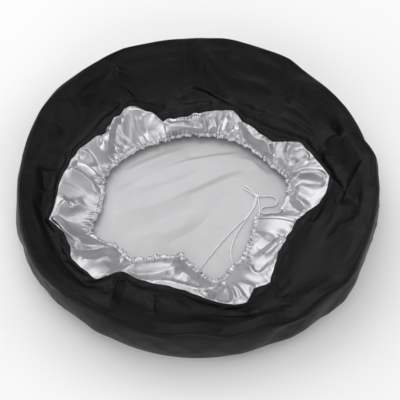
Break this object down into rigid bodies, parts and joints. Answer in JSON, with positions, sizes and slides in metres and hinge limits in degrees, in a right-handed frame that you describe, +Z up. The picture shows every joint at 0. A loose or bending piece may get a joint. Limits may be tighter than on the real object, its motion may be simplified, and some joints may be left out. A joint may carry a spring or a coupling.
{
  "type": "spare tire cover",
  "caption": "Slack round cloth cover for a spare wheel: black face panel and tread band, silver gathered rear skirt with a drawcord in its hem, pull loop and knot.",
  "frame": {"origin": "centre of the box's underside, on the surface that the face panel lies on", "axes": "+Z up out of the rear opening; +X towards the drawcord's mouth; -Y towards the viewer"},
  "size_m": [0.7312, 0.7312, 0.1077],
  "materials": {
    "black_cloth": "matte",
    "silver_cloth": "satin",
    "drawcord": "matte",
    "black_thread": "satin",
    "silver_thread": "satin"
  },
  "bodies": {
    "cover": {"face_panel": "black_cloth", "tread_band": "black_cloth", "band_lap": "black_cloth", "rear_skirt": "silver_cloth", "skirt_end_lower": "silver_cloth", "skirt_end_upper": "silver_cloth", "hem_casing": "silver_cloth", "casing_cord": "drawcord", "strand_lower": "drawcord", "strand_upper": "drawcord", "face_seam_thread": "black_thread", "band_seam_thread": "black_thread", "skirt_seam_thread": "black_thread", "casing_thread": "silver_thread", "end_hem_thread": "silver_thread"},
    "drawcord_end": {"drawcord_knot": "drawcord", "pull_loop": "drawcord", "cord_tail_left": "drawcord", "cord_tail_right": "drawcord"}
  },
  "joints": [
    {"name": "drawcord_pull", "type": "slide", "parent": "cover", "child": "drawcord_end", "axis": [-1, 0, 0], "range_m": [0, 0.2], "deforming": ["strand_lower", "strand_upper"]}
  ]
}
